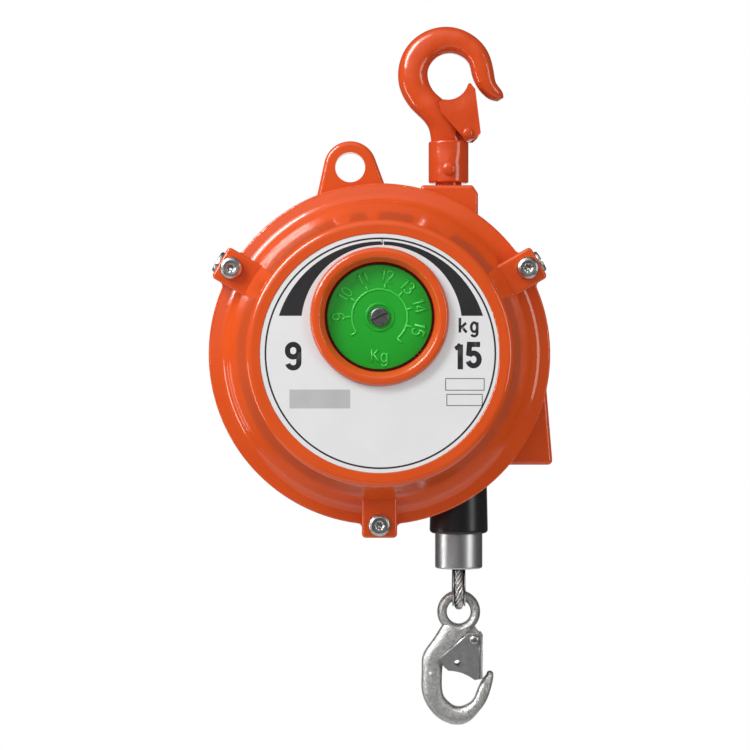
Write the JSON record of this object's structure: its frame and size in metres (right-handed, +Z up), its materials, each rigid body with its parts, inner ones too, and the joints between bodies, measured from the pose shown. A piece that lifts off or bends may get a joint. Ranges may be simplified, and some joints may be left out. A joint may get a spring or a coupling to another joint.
{
  "type": "spring tool balancer",
  "caption": "Spring balancer with a cone drum, wire rope, load dial behind a round window, swivelling upper hook and a latched lower hook.",
  "frame": {"origin": "saddle of the upper hook, on the swivel's load line, where the balancer hangs", "axes": "+Z up, -Y out of the dial face, +X to the right seen from the front"},
  "size_m": [0.1871, 0.1136, 0.3824],
  "materials": {
    "casting_paint": "gloss orange paint on a die casting",
    "hook_paint": "gloss orange paint on forged steel",
    "plate_print": "satin printed plate, light grey with black print",
    "dial_green": "satin green moulding",
    "zinc_steel": "bright zinc plating",
    "dark_steel": "blackened steel",
    "turned_steel": "machined",
    "spring_steel": "blued strip",
    "bronze": "sintered bronze",
    "cast_alloy": "bare casting, machined grooves",
    "wire_rope": "galvanised stranded wire",
    "forged_zinc": "mottled galvanised forging",
    "rubber_black": "moulded rubber",
    "nylon": "natural nylon"
  },
  "bodies": {
    "housing": {"front_cover": "casting_paint", "rear_housing": "casting_paint", "rear_cap": "casting_paint", "cap_screws": "zinc_steel", "case_bolts": "zinc_steel", "side_screws": "zinc_steel", "nameplate": "plate_print", "dial_screw": "dark_steel", "idler_pin": "turned_steel", "front_bush": "bronze", "rear_bush": "bronze", "ratchet_segment": "dark_steel", "worm_bushes": "bronze", "worm_retainer": "zinc_steel", "rope_guide": "nylon", "rope_lead": "wire_rope", "thrust_washer": "bronze"},
    "swivel": {"upper_hook": "hook_paint", "swivel_stem": "hook_paint", "collar_pin": "hook_paint", "stem_nut": "zinc_steel", "cotter_pin": "zinc_steel", "upper_rivet": "hook_paint", "upper_latch_spring": "hook_paint"},
    "upper_latch": {"upper_latch": "hook_paint"},
    "shaft": {"main_shaft": "turned_steel", "shaft_keys": "turned_steel", "shaft_clip": "spring_steel", "spring_arbor": "turned_steel", "worm_wheel": "bronze", "shaft_pinion": "turned_steel"},
    "worm": {"worm": "turned_steel"},
    "idler": {"idler_gear": "bronze"},
    "dial": {"load_dial": "dial_green", "dial_gear": "bronze"},
    "drum": {"rope_drum": "cast_alloy", "drum_bushes": "bronze", "spring_case": "cast_alloy", "spring_case_cover": "cast_alloy", "drum_screws": "zinc_steel", "mainspring": "spring_steel", "rope_wraps": "wire_rope", "rope_anchor": "turned_steel", "pawl_pin": "turned_steel"},
    "pawl": {"lock_pawl": "dark_steel"},
    "rope_end": {"rope_fall": "wire_rope", "rope_bumper": "rubber_black", "rope_stop": "zinc_steel", "rope_ferrule": "cast_alloy", "rope_eye": "wire_rope", "thimble": "zinc_steel"},
    "lower_hook": {"lower_hook": "forged_zinc", "lower_rivet": "zinc_steel", "lower_latch_spring": "spring_steel"},
    "lower_latch": {"lower_latch": "forged_zinc"}
  },
  "joints": [
    {"name": "hook_swivel", "type": "hinge", "parent": "housing", "child": "swivel", "pos_m": [-0.0007, 0, -0.08], "axis": [0, 0, 1], "continuous": true},
    {"name": "upper_latch_open", "type": "hinge", "parent": "swivel", "child": "upper_latch", "pos_m": [0.0096, 0, -0.0446], "axis": [0, -1, 0], "range_deg": [0, 35], "stiffness_Nm_per_rad": 0.03, "springref_deg": -34.38},
    {"name": "load_adjust", "type": "hinge", "parent": "housing", "child": "shaft", "pos_m": [-0.0386, 0, -0.165], "axis": [0, 1, 0], "range_deg": [-1082, 907]},
    {"name": "worm_turn", "type": "hinge", "parent": "housing", "child": "worm", "pos_m": [0.0324, 0.017, -0.18], "axis": [0, 0, 1], "range_deg": [-54110, 45360]},
    {"name": "idler_turn", "type": "hinge", "parent": "housing", "child": "idler", "pos_m": [-0.02619, -0.057, -0.15799], "axis": [0, 1, 0], "range_deg": [-324.93, 387.43]},
    {"name": "dial_turn", "type": "hinge", "parent": "housing", "child": "dial", "pos_m": [-0.0386, -0.061, -0.146], "axis": [0, 1, 0], "range_deg": [-107.54, 90.18]},
    {"name": "drum_spin", "type": "hinge", "parent": "housing", "child": "drum", "pos_m": [-0.0386, 0, -0.165], "axis": [0, 1, 0], "range_deg": [0, 1530], "stiffness_Nm_per_rad": 0.065, "springref_deg": -4583.66, "deforming": ["mainspring", "rope_wraps"]},
    {"name": "rope_travel", "type": "slide", "parent": "housing", "child": "rope_end", "axis": [0, 0, -1], "range_m": [0, 1.301], "deforming": ["rope_fall"]},
    {"name": "pawl_release", "type": "hinge", "parent": "drum", "child": "pawl", "pos_m": [-0.0386, 0.007, -0.13], "axis": [0, -1, 0], "range_deg": [0, 38], "stiffness_Nm_per_rad": 0.02, "springref_deg": -28.65},
    {"name": "hook_swing", "type": "hinge", "parent": "rope_end", "child": "lower_hook", "pos_m": [0.0049, 0, -0.306], "axis": [0, 1, 0], "range_deg": [-60, 60]},
    {"name": "lower_latch_open", "type": "hinge", "parent": "lower_hook", "child": "lower_latch", "pos_m": [0.0132, 0, -0.3207], "axis": [0, 1, 0], "range_deg": [0, 42], "stiffness_Nm_per_rad": 0.02, "springref_deg": -34.38}
  ],
  "couplings": [
    {"joint": "worm_turn", "follows": "load_adjust", "ratio": 50},
    {"joint": "idler_turn", "follows": "load_adjust", "ratio": -0.35714},
    {"joint": "dial_turn", "follows": "load_adjust", "ratio": 0.099206},
    {"joint": "rope_travel", "follows": "drum_spin", "m_per_rad": 0.048683}
  ]
}
